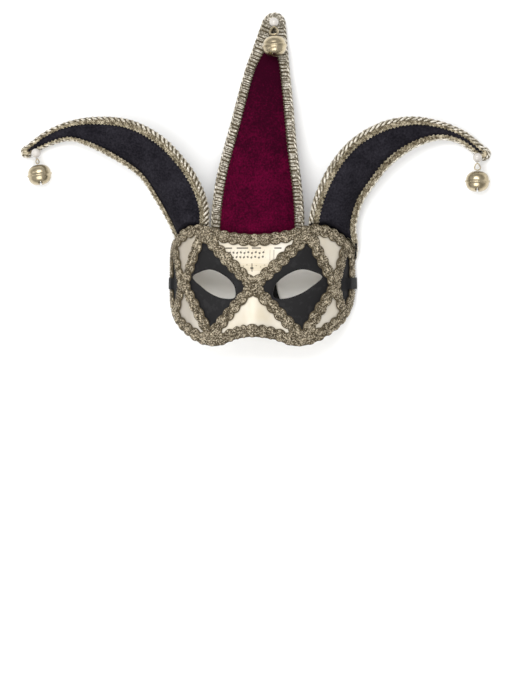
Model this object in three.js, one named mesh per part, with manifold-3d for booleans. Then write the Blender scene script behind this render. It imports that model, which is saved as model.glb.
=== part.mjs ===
// Harlequin half mask with three jester horns, lying face up.
// Millimetres. X runs across the face, Y up the face and Z out of it, and the temples rest on Z = 0.
import * as THREE from 'three';
import { mergeVertices } from 'three/addons/utils/BufferGeometryUtils.js';
import Module from 'manifold-3d';

const radians = THREE.MathUtils.degToRad;
const gap = 0.3;
const weldDistance = 0.04;

// The shell is a bowed plate. A place on it is an angle round the bow, in degrees, and a height.
const face = {
  halfWidth: 78,
  rimAngle: 86,
  bowDepth: 57,
  foreheadFall: 7,
  cheekFall: 8,
  wall: 2.6,
  columns: 30,
  rows: 9,
  crowding: 1.25,
  noseWidth: 12.5,
  noseTop: 16,
  noseFoot: -42,
  noseRise: 13,
  socketCentre: [35, 3],
  socketSize: [19, 13],
  socketDepth: 4,
  browHeight: 25,
  browSpread: 9,
  browRise: 1.6,
};
const topEdge = [[0, 44], [15, 45.5], [28, 49.5], [39, 52], [50, 50.5], [60, 45.5], [68, 41.5], [76, 38], [82, 33],
  [86, 26]];
const bottomEdge = [[0, -42], [12, -44.5], [24.5, -50], [36, -48.5], [49, -41.5], [60, -34.5], [68, -28.5],
  [76, -22], [82, -17], [86, -11]];
const eyeHole = [[16.5, -9], [17, 0], [24, 8], [38, 14.5], [49, 12.5], [55.5, 8.5], [47, 0], [38, -6], [27, -9.8]];
const ribbonNotch = { height: 3.5, width: 13, depth: 2.1 };

// Scalloped braid, glued on the shell.
const gimp = { peak: 5.6, valley: 4.3, lift: 0.5, rise: 2.1, shoulder: 0.82, pitch: 7.4 };
const rimLine = [[0, 39], [15, 40.5], [28, 44.3], [39, 46.8], [50, 45.3], [59, 40.8], [67, 36.5], [74, 31.5],
  [78.4, 24], [79.2, 13], [79.2, -1], [77.6, -9], [73, -15.5], [66.5, -23], [58, -30], [48, -36.5], [36, -43.2],
  [24.5, -44.6], [12, -39.4], [0, -37]];
const diamond = { top: [46, 43], outer: [62.4, 2], bottom: [38.5, -41], inner: [0, 0] };
const cornerGap = 8.5;
const sideLine = [[68, 36], [63, 22], [57.5, 8], [56, 2], [57.5, -5], [62, -15], [66, -23]];

// Padded horns, each bent a little its own way. An edge runs from the brow to the tip, and its third number is the
// height off the table.
const sideHorn = { bow: 4, padding: 7.5, gather: { by: -0.4, from: 0.55, to: 0.92 }, velvetStations: 12 };
const leftHorn = {
  ...sideHorn,
  upper: [[-42.6, 46, 36], [-42, 69, 39.5], [-51.5, 93.7, 40], [-65.8, 113.1, 38], [-83.7, 129.8, 34],
    [-110, 143, 27.2], [-137.8, 146.4, 20], [-165, 143.5, 12.6], [-188, 134.6, 7.4], [-205.5, 122.2, 4.5]],
  lower: [[-70.5, 36, 8], [-79, 54.5, 11.2], [-92.1, 77.6, 15.8], [-103.6, 94.1, 17.4], [-121, 106.3, 17.4],
    [-147.5, 119.8, 14], [-165.6, 125.2, 10.5], [-183.8, 121.2, 6.5], [-201.2, 113.3, 4.4]],
  braidWidths: [6.8, 4.8],
  tip: { centre: [-203.5, 117.1, 4.1], radius: 6.7 },
};
const rightHorn = {
  ...sideHorn,
  upper: [[43, 46, 36], [45.4, 62, 38.6], [50, 78, 39.8], [62.6, 103.4, 39.5], [79, 124, 35],
    [103.5, 139.3, 27.5], [128.4, 144.7, 20], [153.2, 141.2, 13.2], [175, 132, 7.7], [191.5, 118.6, 4.6]],
  lower: [[76, 36, 8], [79.8, 51, 11], [86.9, 70.8, 14.5], [97.6, 85.9, 17], [111.1, 102.1, 17.5],
    [127.9, 114.8, 15.5], [144.6, 122.5, 12.5], [157, 124, 9.6], [169.6, 120.6, 6.5], [184.7, 109.4, 4.4]],
  braidWidths: [7.4, 6],
  tip: { centre: [189.2, 113.2, 4.1], radius: 6.8 },
};
const centreHorn = {
  upper: [[-41.2, 38, 33], [-39.3, 68, 33.6], [-35.5, 94.9, 32], [-23.9, 142, 23.6], [-13.6, 184, 12.4],
    [-5.2, 210, 6.8], [0.4, 227.5, 4.4]],
  lower: [[40.2, 38, 33], [39.7, 68, 32.5], [32.6, 121.2, 25], [28.3, 158.3, 17.2], [23.8, 191.4, 9.2],
    [21.3, 216, 5.2], [20.1, 227, 4.4]],
  bow: 7,
  padding: 9,
  braidWidths: [8.6, 7.8],
  gather: { by: 0.3, from: 0.78, to: 0.9 },
  velvetStations: 11,
  tip: { centre: [10.2, 225.3, 4.1], radius: 9.6 },
};
const hornEdge = 2.4;
const hornTipPadding = 2.6;
const hornStations = 13;
const bindingHalf = 3.3;

// Jingle bells, with the pearl and the wire loop that each hangs by.
const bell = { radius: 9.9, halfHeight: 9.3, flange: 10.8, flangeHalf: 0.5, wall: 0.9, sides: 10 };
const slot = { width: 1.7, reach: 7, holeRadius: 1.6, holeAngle: 48, depth: 4.5 };
const ball = { radius: 2.4 };
const pearlRadius = 4;
const wire = { radius: 0.55, width: 5.6 };
const hangings = {
  left: { pearl: [-194.8, 115.3, 13.1], bell: [-192, 96.7, 11.1], roll: 8 },
  centre: { pearl: [11.1, 225.6, 11.9], bell: [13.1, 204.7, 22.6], roll: -28 },
  right: { pearl: [184.9, 109.4, 12.3], bell: [184.8, 89.3, 11.1], roll: 4 },
};
const hangTilt = 0.2;

// Satin ties. The route is for the right side: over the rim, in under it, and up beneath the centre horn.
const ribbon = { width: 10, thickness: 1 };
const ribbonOverRim = [[62.2, 1.4], [65, 1.3], [69, 1.5], [72, 3.3], [76, 3.5], [80, 3.5], [83.5, 3.3]];
const ribbonUnder = [[80.6, 1.6], [79, 0.95], [76, 0.8], [72, 0.8]];
const ribbonLying = [[66.5, -0.5], [59, -13], [49.5, -24], [38, -29.5], [25, -27.5], [14, -18.5], [8, -5], [6.5, 11],
  [6.5, 40], [6.5, 80], [6.5, 125], [6.5, 168]];
const ribbonLean = { from: 20, to: 168, far: 7 };

const colours = {
  cream: 0xe8dec4,
  antiqueBraid: 0x7e7458,
  silverBraid: 0xa59c88,
  blackVelvet: 0x25232a,
  burgundyVelvet: 0x5a0624,
  paleGold: 0xc9bb8d,
  pearl: 0xe6dfda,
  steel: 0xb9b9b7,
  blackSatin: 0x2a282c,
};

const wasm = await Module();
wasm.setup();

// A smooth line through knots of two numbers, read as second number over first.
function through(knots) {
  const slope = (i) => {
    const before = knots[Math.max(i - 1, 0)];
    const after = knots[Math.min(i + 1, knots.length - 1)];
    return (after[1] - before[1]) / (after[0] - before[0]);
  };
  return (place) => {
    const at = THREE.MathUtils.clamp(place, knots[0][0], knots.at(-1)[0]);
    const i = Math.min(knots.findLastIndex((knot) => knot[0] <= at), knots.length - 2);
    const span = knots[i + 1][0] - knots[i][0];
    const t = (at - knots[i][0]) / span;
    const rise = knots[i + 1][1] - knots[i][1];
    const start = slope(i) * span;
    const end = slope(i + 1) * span;
    const bend = t * (1 - t) * ((1 - t) * (start - rise) - t * (end - rise));
    return knots[i][1] + rise * t + bend;
  };
}

const topOf = through(topEdge);
const bottomOf = through(bottomEdge);

// A point of the bare face surface.
function surfacePoint(angle, height) {
  const turn = radians(angle);
  const rim = Math.cos(radians(face.rimAngle));
  const x = face.halfWidth * Math.sin(turn);
  const fall = height > 0 ? face.foreheadFall : face.cheekFall;
  const depth = face.bowDepth - fall * (height / 50) ** 2;
  const bow = depth * (Math.cos(turn) - rim) / (1 - rim);
  const down = THREE.MathUtils.smoothstep(-height, -face.noseTop, -face.noseFoot);
  const nose = face.noseRise * down * Math.exp(-((x / face.noseWidth) ** 2));
  const [socketX, socketY] = face.socketCentre;
  const [socketWide, socketHigh] = face.socketSize;
  const away = ((Math.abs(x) - socketX) / socketWide) ** 2 + ((height - socketY) / socketHigh) ** 2;
  const brow = face.browRise * Math.exp(-(((height - face.browHeight) / face.browSpread) ** 2)) * Math.cos(turn);
  return new THREE.Vector3(x, height, bow + nose + brow - face.socketDepth * Math.exp(-away));
}

// The surface's own directions at a place, with how many millimetres a degree round the bow makes.
function surfaceFrame(angle, height) {
  const step = 0.2;
  const acrossStep = surfacePoint(angle + step, height).sub(surfacePoint(angle - step, height));
  const upStep = surfacePoint(angle, height + step).sub(surfacePoint(angle, height - step));
  return {
    perDegree: acrossStep.length() / (2 * step),
    perHeight: upStep.length() / (2 * step),
    normal: acrossStep.cross(upStep).normalize(),
  };
}

function facePoint(angle, height, lift = 0) {
  const { normal } = surfaceFrame(angle, height);
  return surfacePoint(angle, height).addScaledVector(normal, lift);
}

const angleOf = (x) => THREE.MathUtils.radToDeg(Math.asin(x / face.halfWidth));

// A closed body through rings of equal count. An open row of rings gets an end across its first and last ring.
function loft(rings, closed = false) {
  const count = rings[0].length;
  const index = [];
  const lanes = closed ? rings.length : rings.length - 1;
  for (let i = 0; i < lanes; i += 1) {
    const here = i * count;
    const next = ((i + 1) % rings.length) * count;
    for (let j = 0; j < count; j += 1) {
      const k = (j + 1) % count;
      index.push(here + j, here + k, next + k, here + j, next + k, next + j);
    }
  }
  if (!closed) {
    const last = (rings.length - 1) * count;
    for (let j = 0; j < count / 2 - 1; j += 1) {
      const a = j;
      const b = j + 1;
      const c = count - 2 - j;
      const d = count - 1 - j;
      index.push(a, c, b, a, d, c);
      index.push(last + a, last + b, last + c, last + a, last + c, last + d);
    }
  }
  const geometry = new THREE.BufferGeometry().setFromPoints(rings.flat());
  geometry.setIndex(index);
  return outward(geometry);
}

// Turns a closed body's faces out where it was wound the other way.
function outward(geometry) {
  const index = geometry.index.array;
  const corner = [0, 1, 2].map(() => new THREE.Vector3());
  let volume = 0;
  for (let i = 0; i < index.length; i += 3) {
    corner.forEach((point, j) => point.fromBufferAttribute(geometry.attributes.position, index[i + j]));
    volume += corner[0].dot(corner[1].clone().cross(corner[2]));
  }
  if (volume < 0) {
    for (let i = 0; i < index.length; i += 3) {
      [index[i + 1], index[i + 2]] = [index[i + 2], index[i + 1]];
    }
  }
  return geometry;
}

function toSolid(geometry) {
  const bare = geometry.clone();
  bare.deleteAttribute('normal');
  bare.deleteAttribute('uv');
  const merged = mergeVertices(bare, 1e-4);
  return new wasm.Manifold(new wasm.Mesh({
    numProp: 3,
    vertProperties: new Float32Array(merged.attributes.position.array),
    triVerts: new Uint32Array(merged.index.array),
  }));
}

// The largest body of a solid, as a geometry.
function toGeometry(solid) {
  const bodies = solid.decompose().sort((a, b) => b.volume() - a.volume());
  const mesh = bodies[0].getMesh();
  const geometry = new THREE.BufferGeometry();
  geometry.setAttribute('position', new THREE.BufferAttribute(new Float32Array(mesh.vertProperties), 3));
  geometry.setIndex([...mesh.triVerts]);
  return welded(geometry);
}

// Joins corners that a cut left almost on each other, and drops the faces that this closes up.
function welded(geometry) {
  const joined = mergeVertices(geometry, weldDistance);
  const kept = [];
  for (let i = 0; i < joined.index.count; i += 3) {
    const corners = [0, 1, 2].map((j) => joined.index.getX(i + j));
    if (new Set(corners).size === 3) {
      kept.push(...corners);
    }
  }
  joined.setIndex(kept);
  return joined;
}

// The bowed shell without its eye holes. Growing it gives the room that neighbours keep clear.
function shellBody(grow = 0) {
  const rings = [];
  for (let i = 0; i <= face.columns; i += 1) {
    const across = 2 * i / face.columns - 1;
    const angle = Math.sign(across) * Math.abs(across) ** face.crowding * face.rimAngle;
    const low = bottomOf(Math.abs(angle)) - grow;
    const high = topOf(Math.abs(angle)) + grow;
    const front = [];
    const back = [];
    for (let j = 0; j <= face.rows; j += 1) {
      const height = low + (high - low) * j / face.rows;
      front.push(facePoint(angle, height, grow));
      back.unshift(facePoint(angle, height, -face.wall - grow));
    }
    rings.push([...front, ...back]);
  }
  return toSolid(loft(rings));
}

function eyeHoleCutter(side) {
  const outline = new THREE.Shape();
  const [start, ...rest] = eyeHole.map(([x, y]) => new THREE.Vector2(side * x, y));
  outline.moveTo(start.x, start.y);
  outline.splineThru([...rest, start]);
  const cutter = new THREE.ExtrudeGeometry(outline, { depth: 2 * face.bowDepth, bevelEnabled: false, curveSegments: 2 });
  return toSolid(cutter);
}

function blockSolid(size, centre) {
  return toSolid(new THREE.BoxGeometry(...size).translate(...centre));
}

// Trims the shell flat where the temples rest, and lets the ribbon pass under each of them.
function maskShell() {
  const wide = 4 * face.halfWidth;
  let solid = shellBody();
  solid = solid.subtract(eyeHoleCutter(1)).subtract(eyeHoleCutter(-1));
  solid = solid.subtract(blockSolid([wide, wide, wide], [0, 0, -wide / 2]));
  for (const side of [1, -1]) {
    const notch = blockSolid([20, ribbonNotch.width, 2 * ribbonNotch.depth], [side * face.halfWidth, ribbonNotch.height, 0]);
    solid = solid.subtract(notch);
  }
  return solid;
}

// One ring of a braid strip, with edges that follow the face. A ridged one bends along its middle too.
function stripRing(angle, height, direction, half, grow, ridged = false) {
  const { perDegree, perHeight } = surfaceFrame(angle, height);
  const at = (reach, lift) => facePoint(
    angle + reach * direction[0] / perDegree,
    height + reach * direction[1] / perHeight,
    lift,
  );
  const low = gimp.lift - 3 * grow;
  const high = gimp.lift + gimp.rise + 3 * grow;
  const wide = half + grow;
  const back = ridged ? [at(-wide, low), at(0, low), at(wide, low)] : [at(-wide, low), at(wide, low)];
  return [...back, at(gimp.shoulder * wide, high), at(-gimp.shoulder * wide, high)];
}

const halfAt = (station) => (station % 2 === 0 ? gimp.valley : gimp.peak);

// Rings along a line of [angle, height] places. The line is read as millimetres on the face.
function stripAlong(places, grow = 0, closed = false) {
  const points = places.map(([angle, height]) => new THREE.Vector3(angle, height, 0));
  const line = new THREE.CatmullRomCurve3(points, closed, 'centripetal');
  const fine = [];
  let length = 0;
  for (let i = 0; i <= 400; i += 1) {
    const place = line.getPoint(i / 400);
    const point = surfacePoint(place.x, place.y);
    length += i > 0 ? point.distanceTo(fine[i - 1].point) : 0;
    fine.push({ place, point, length });
  }
  const stations = 2 * Math.round(length / gimp.pitch);
  const rings = [];
  for (let i = 0; i < stations + (closed ? 0 : 1); i += 1) {
    const want = length * i / stations;
    const k = Math.max(fine.findIndex((sample) => sample.length >= want), 1);
    const part = (want - fine[k - 1].length) / (fine[k].length - fine[k - 1].length);
    const place = fine[k - 1].place.clone().lerp(fine[k].place, part);
    const before = fine[Math.max(k - 3, 0)].place;
    const after = fine[Math.min(k + 2, 400)].place;
    const { perDegree, perHeight } = surfaceFrame(place.x, place.y);
    const run = [(after.x - before.x) * perDegree, (after.y - before.y) * perHeight];
    const size = Math.hypot(...run);
    rings.push(stripRing(place.x, place.y, [-run[1] / size, run[0] / size], halfAt(i), grow));
  }
  return toSolid(loft(rings, closed));
}

function rimBraid(grow = 0) {
  const left = rimLine.slice(1, -1).map(([angle, height]) => [-angle, height]).reverse();
  return stripAlong([...rimLine, ...left], grow, true);
}

// A braid round four corners, mitred at each, in X and Y as seen from the front.
function diamondBraid(side, grow = 0) {
  const corners = [diamond.inner, diamond.top, diamond.outer, diamond.bottom]
    .map(([x, y]) => new THREE.Vector2(side * x, y));
  const rings = [];
  corners.forEach((corner, i) => {
    const next = corners[(i + 1) % 4];
    const previous = corners[(i + 3) % 4];
    const run = next.clone().sub(corner).normalize();
    const came = corner.clone().sub(previous).normalize();
    const mitre = run.clone().sub(came).normalize();
    const square = new THREE.Vector2(-run.y, run.x);
    const stretch = 1 / Math.abs(mitre.dot(square));
    const towards = Math.sign(mitre.dot(square));
    const ring = (point, direction, half) => stripRing(
      angleOf(point.x),
      point.y,
      [direction.x, direction.y],
      half,
      grow,
      true,
    );
    rings.push(ring(corner, mitre.multiplyScalar(towards * stretch), gimp.valley));
    const length = corner.distanceTo(next) - 2 * cornerGap;
    const stations = 2 * Math.round(length / gimp.pitch);
    for (let j = 0; j <= stations; j += 1) {
      const point = corner.clone().addScaledVector(run, cornerGap + length * j / stations);
      rings.push(ring(point, square, halfAt(j)));
    }
  });
  return toSolid(loft(rings, true));
}

function sideBraid(side, grow = 0) {
  return stripAlong(sideLine.map(([angle, height]) => [side * angle, height]), grow);
}

// The frame of a horn at a share of its length: both edges, the way in from each, and the way out of the velvet.
function hornFrames(horn) {
  const curve = (points) => new THREE.CatmullRomCurve3(points.map((point) => new THREE.Vector3(...point)));
  const edges = [curve(horn.upper), curve(horn.lower)];
  const middle = (share) => edges[0].getPointAt(share).lerp(edges[1].getPointAt(share), 0.5);
  return (share) => {
    const starts = edges.map((edge) => edge.getPointAt(share));
    const across = starts[1].clone().sub(starts[0]);
    const along = middle(Math.min(share + 0.02, 1)).sub(middle(Math.max(share - 0.02, 0)));
    const out = across.clone().cross(along).normalize();
    out.multiplyScalar(Math.sign(out.z));
    const inward = edges.map((edge, i) => {
      const run = edge.getTangentAt(share);
      const way = across.clone().multiplyScalar(i === 0 ? 1 : -1).normalize();
      return way.addScaledVector(run, -way.dot(run)).normalize();
    });
    return { starts, inward, out };
  };
}

// A binding's width, which changes towards the tip.
function bindingWidth(horn, edge, share) {
  const { by, from, to } = horn.gather;
  return horn.braidWidths[edge] * (1 + by * THREE.MathUtils.smoothstep(share, from, to));
}

// The padded velvet body, between the two bindings. It is thick in the middle and thin at its edges.
function hornBody(horn) {
  const frameAt = hornFrames(horn);
  const lanes = [0, 0.28, 0.72, 1];
  const rings = [];
  for (let i = 0; i <= horn.velvetStations; i += 1) {
    const share = i / hornStations;
    const { starts, inward, out } = frameAt(share);
    const [from, to] = starts.map((start, k) => start.addScaledVector(inward[k], bindingWidth(horn, k, share) + gap));
    const across = to.sub(from);
    const swell = THREE.MathUtils.lerp(horn.padding, hornTipPadding, share ** 1.5);
    const bow = horn.bow * (1 - share) ** 3;
    const at = (lane, face) => {
      const crown = (4 * lane * (1 - lane)) ** 0.7;
      const thick = hornEdge + (swell - hornEdge) * crown;
      return from.clone().addScaledVector(across, lane).addScaledVector(out, face * thick + bow * crown);
    };
    rings.push([...lanes.map((lane) => at(lane, 1)), ...lanes.toReversed().map((lane) => at(lane, -1))]);
  }
  return toSolid(loft(rings));
}

// Braid bound over one edge: rounded outside and flat against the velvet.
function bindingStrip(horn, edge) {
  const frameAt = hornFrames(horn);
  const rings = [];
  for (let i = 0; i <= hornStations; i += 1) {
    const { starts, inward, out } = frameAt(i / hornStations);
    const width = bindingWidth(horn, edge, i / hornStations);
    const at = (part, height) => starts[edge].clone()
      .addScaledVector(inward[edge], part * width)
      .addScaledVector(out, height * bindingHalf);
    rings.push([at(0, 0.5), at(0.3, 1), at(1, 0.85), at(1, -0.85), at(0.3, -1), at(0, -0.5)]);
  }
  return toSolid(loft(rings));
}

// Both edges' braid, gathered into a rounded knob over the tip.
function hornBinding(horn) {
  const { centre, radius } = horn.tip;
  const knob = new THREE.SphereGeometry(radius, 10, 6).rotateX(Math.PI / 2);
  knob.scale(1, 1, (bindingHalf + gap) / radius).translate(...centre);
  return bindingStrip(horn, 0).add(bindingStrip(horn, 1)).add(toSolid(knob));
}

// A bell about its own axis, with its eye towards +Y and its slot below.
function bellSolid() {
  const arc = (from, to, steps, radius, half) => Array.from({ length: steps + 1 }, (_, i) => {
    const turn = radians(from + (to - from) * i / steps);
    return new THREE.Vector2(Math.max(radius * Math.cos(turn), 0), half * Math.sin(turn));
  });
  const outside = [
    ...arc(-90, -8, 4, bell.radius, bell.halfHeight),
    new THREE.Vector2(bell.flange, -bell.flangeHalf),
    new THREE.Vector2(bell.flange, bell.flangeHalf),
    ...arc(8, 90, 4, bell.radius, bell.halfHeight),
  ];
  const inside = arc(-90, 90, 5, bell.radius - bell.wall, bell.halfHeight - bell.wall);
  let solid = toSolid(new THREE.LatheGeometry(outside, bell.sides));
  solid = solid.subtract(toSolid(new THREE.LatheGeometry(inside, bell.sides)));
  solid = solid.subtract(blockSolid([slot.width, 6, 2 * slot.reach], [0, -bell.halfHeight, 0]));
  for (const way of [1, -1]) {
    const drill = new THREE.CylinderGeometry(slot.holeRadius, slot.holeRadius, slot.depth, 8);
    drill.translate(0, -bell.radius + bell.wall, 0);
    drill.rotateX(-way * radians(slot.holeAngle));
    solid = solid.subtract(toSolid(drill));
  }
  return solid;
}

// Where a hanging bell lies: its own axis points towards its pearl, but tilts less.
function hangingPose({ pearl, bell: place, roll }) {
  const centre = new THREE.Vector3(...place);
  const axis = new THREE.Vector3(...pearl).sub(centre);
  axis.z *= hangTilt;
  axis.normalize();
  const turn = new THREE.Quaternion().setFromUnitVectors(new THREE.Vector3(0, 1, 0), axis);
  turn.multiply(new THREE.Quaternion().setFromAxisAngle(new THREE.Vector3(0, 1, 0), radians(roll)));
  return { centre, turn, axis };
}

// The wire loop from the bell's crown to the underside of the pearl, as a long eye.
function bellLoop(hanging) {
  const { centre, axis } = hangingPose(hanging);
  const pearl = new THREE.Vector3(...hanging.pearl);
  const foot = centre.clone().addScaledVector(axis, bell.halfHeight + wire.radius + gap);
  const down = foot.clone().sub(pearl).normalize();
  const head = pearl.clone().addScaledVector(down, pearlRadius + wire.radius + gap);
  const reach = head.distanceTo(foot);
  const eye = new THREE.TorusGeometry(wire.width / 2, wire.radius, 5, 10);
  eye.scale(1, (reach + wire.radius * 2) / (wire.width + 2 * wire.radius), 1);
  eye.applyQuaternion(new THREE.Quaternion().setFromUnitVectors(new THREE.Vector3(0, -1, 0), down));
  const middle = head.add(foot).multiplyScalar(0.5);
  return eye.translate(middle.x, middle.y, middle.z);
}

// A tie's middle line on one side: over the rim, in under it, and along the table.
function ribbonRoute(side) {
  const over = ribbonOverRim.map(([angle, lift], i) => {
    const height = ribbonNotch.height - 1 + i / 6;
    return facePoint(side * angle, height, lift);
  });
  const under = ribbonUnder.map(([x, z]) => new THREE.Vector3(side * x, ribbonNotch.height, z));
  const lying = ribbonLying.map(([x, y]) => {
    const lean = ribbonLean.far * THREE.MathUtils.smoothstep(y, ribbonLean.from, ribbonLean.to);
    return new THREE.Vector3(side * x + lean, y, ribbonUnder.at(-1)[1]);
  });
  return [...over, ...under, ...lying];
}

// A flat ribbon along its route, with one step from each point of the route to the next.
function ribbonTie(side) {
  const points = ribbonRoute(side);
  const route = new THREE.CatmullRomCurve3(points);
  route.getUtoTmapping = (share) => share;
  const wide = ribbon.width / 2;
  const thick = ribbon.thickness / 2;
  const corners = [[wide, -thick], [wide, thick], [-wide, thick], [-wide, -thick]];
  const outline = new THREE.Shape(corners.map(([x, y]) => new THREE.Vector2(x, y)));
  return new THREE.ExtrudeGeometry(outline, { steps: points.length - 1, extrudePath: route });
}

const group = new THREE.Group();
const cords = new THREE.Group();

function addPiece(name, geometry, colour, roughness, metalness = 0, parent = group) {
  const mesh = new THREE.Mesh(geometry, new THREE.MeshStandardMaterial({ color: colour, roughness, metalness }));
  mesh.name = name;
  parent.add(mesh);
  return mesh;
}

const sides = { left: -1, right: 1 };
const shell = maskShell();
const shellRoom = shellBody(gap);
const rim = rimBraid();
const rimRoom = rimBraid(gap);

addPiece('mask_shell', toGeometry(shell), colours.cream, 0.5);
addPiece('rim_braid', toGeometry(rim), colours.antiqueBraid, 0.6, 0.4);

for (const [name, side] of Object.entries(sides)) {
  const half = blockSolid([200, 400, 400], [side * (100 + gap / 2), 0, 0]);
  const braid = diamondBraid(side).subtract(shellRoom).subtract(rimRoom).intersect(half);
  addPiece(`diamond_braid_${name}`, toGeometry(braid), colours.antiqueBraid, 0.6, 0.4);
  const sideStrip = sideBraid(side).subtract(rimRoom).subtract(diamondBraid(side, gap));
  addPiece(`side_braid_${name}`, toGeometry(sideStrip), colours.antiqueBraid, 0.6, 0.4);
}

const horns = {
  left: { horn: leftHorn, velvet: colours.blackVelvet },
  centre: { horn: centreHorn, velvet: colours.burgundyVelvet },
  right: { horn: rightHorn, velvet: colours.blackVelvet },
};
for (const [name, { horn, velvet }] of Object.entries(horns)) {
  const bound = hornBinding(horn).subtract(shellRoom.add(rimRoom));
  const body = hornBody(horn).subtract(shellRoom.add(rimRoom));
  addPiece(`horn_${name}`, toGeometry(body), velvet, 0.95);
  addPiece(`horn_braid_${name}`, toGeometry(bound), colours.silverBraid, 0.5, 0.6);
}

const bellGeometry = toGeometry(bellSolid());
for (const [name, hanging] of Object.entries(hangings)) {
  const { centre, turn } = hangingPose(hanging);
  const bead = new THREE.SphereGeometry(pearlRadius, 10, 6);
  addPiece(`pearl_${name}`, bead, colours.pearl, 0.25).position.set(...hanging.pearl);
  addPiece(`bell_loop_${name}`, bellLoop(hanging), colours.paleGold, 0.3, 0.9);
  const hung = addPiece(`bell_${name}`, bellGeometry, colours.paleGold, 0.25, 0.9);
  hung.position.copy(centre);
  hung.quaternion.copy(turn);
  const rest = new THREE.Vector3(0, ball.radius + bell.wall + gap - bell.halfHeight, 0).applyQuaternion(turn);
  const loose = addPiece(`bell_ball_${name}`, new THREE.SphereGeometry(ball.radius, 8, 5), colours.steel, 0.3, 0.9);
  loose.position.copy(centre).add(rest);
}

for (const [name, side] of Object.entries(sides)) {
  addPiece(`ribbon_${name}`, ribbonTie(side), colours.blackSatin, 0.4, 0, cords);
}

// The origin goes under the middle of the whole part, without its ties.
group.updateMatrixWorld(true);
const bounds = new THREE.Box3().setFromObject(group, true);
const centre = bounds.getCenter(new THREE.Vector3());
group.add(cords);
group.position.set(-centre.x, -centre.y, -bounds.min.z);

export default group;
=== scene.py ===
# Harlequin half mask with three velvet jester horns, lying face up on a pale table.
import itertools
import random
from math import asin, atan2, copysign, cos, degrees, exp, hypot, pi, radians, remainder, sin, sqrt, tau

import bmesh
import bpy
from mathutils import Matrix, Quaternion, Vector


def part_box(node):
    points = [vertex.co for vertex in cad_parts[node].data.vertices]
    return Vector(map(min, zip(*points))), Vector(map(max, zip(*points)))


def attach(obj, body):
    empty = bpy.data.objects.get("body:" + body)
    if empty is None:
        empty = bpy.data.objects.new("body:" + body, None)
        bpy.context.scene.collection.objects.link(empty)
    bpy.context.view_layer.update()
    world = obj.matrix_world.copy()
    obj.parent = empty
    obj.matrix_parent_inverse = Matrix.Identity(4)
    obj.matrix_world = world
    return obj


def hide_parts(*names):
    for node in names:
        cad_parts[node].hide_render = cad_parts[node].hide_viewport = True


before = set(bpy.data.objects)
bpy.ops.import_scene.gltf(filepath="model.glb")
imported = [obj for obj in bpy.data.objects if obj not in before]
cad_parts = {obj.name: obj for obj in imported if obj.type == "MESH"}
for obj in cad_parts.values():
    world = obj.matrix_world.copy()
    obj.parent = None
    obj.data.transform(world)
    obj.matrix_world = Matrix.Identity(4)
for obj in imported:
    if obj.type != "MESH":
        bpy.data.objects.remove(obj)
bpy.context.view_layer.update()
mm = 0.001
up = Vector((0, 0, 1))
print("frame loaded")


# Sizes are millimetres on the mask: X across the face, Y up it from the braids' crossing, Z off the table.
hangings = {
    "left": {"pearl": (-194.8, 115.3, 13.1), "bell": (-192, 96.7, 11.1), "roll": 8},
    "centre": {"pearl": (11.1, 225.6, 11.9), "bell": (13.1, 204.7, 22.6), "roll": -28},
    "right": {"pearl": (184.9, 109.4, 12.3), "bell": (184.8, 89.3, 11.1), "roll": 4},
}
pearlLow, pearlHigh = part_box("pearl_centre")
faceX, faceY = ((pearlLow[i] + pearlHigh[i]) / 2 / mm - hangings["centre"]["pearl"][i] for i in (0, 1))


def toTable(point):
    # from the mask's millimetres to the frame's metres
    return Vector((point[0] + faceX, point[1] + faceY, point[2])) * mm


# Camera, looking down on the mask

cameraSetup = {"aim": (-3.84, -45, 22), "distance": 4000, "turn": 8, "pictureHeight": 578, "sensor": 36}


def addObject(name, data):
    made = bpy.data.objects.new(name, data)
    bpy.context.collection.objects.link(made)
    return made


def aimed(item, place, turn):
    item.location = place
    item.rotation_mode = "QUATERNION"
    item.rotation_quaternion = turn
    return item


def addCamera():
    data = bpy.data.cameras.new("camera")
    data.sensor_fit = "VERTICAL"
    data.sensor_height = cameraSetup["sensor"]
    data.sensor_width = cameraSetup["sensor"]
    data.lens = cameraSetup["sensor"] * cameraSetup["distance"] / cameraSetup["pictureHeight"]
    data.clip_start = 0.05
    data.clip_end = 20
    turn = Quaternion((0, 1, 0), radians(cameraSetup["turn"]))
    place = toTable(cameraSetup["aim"]) + turn @ up * cameraSetup["distance"] * mm
    bpy.context.scene.camera = aimed(addObject("camera", data), place, turn)


addCamera()
print("camera placed")


# Lines and meshes


def smoothLine(points, closed=False, steps=12):
    # a smooth line through the points, with the given number of steps from each to the next
    line = []
    count = len(points)
    for i in range(count if closed else count - 1):
        b, c = points[i], points[(i + 1) % count]
        a = points[i - 1] if closed or i else b * 2 - c
        d = points[(i + 2) % count] if closed or i < count - 2 else c * 2 - b
        first, middle, last = (sqrt((q - p).length) for p, q in ((a, b), (b, c), (c, d)))
        start = ((b - a) / first - (c - a) / (first + middle) + (c - b) / middle) * middle
        end = ((c - b) / middle - (d - b) / (middle + last) + (d - c) / last) * middle
        for k in range(steps):
            t = k / steps
            bend = (c - b) * 3 - start * 2 - end
            line.append(b + start * t + bend * t**2 + ((b - c) * 2 + start + end) * t**3)
    if not closed:
        line.append(points[-1].copy())
    return line


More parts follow.
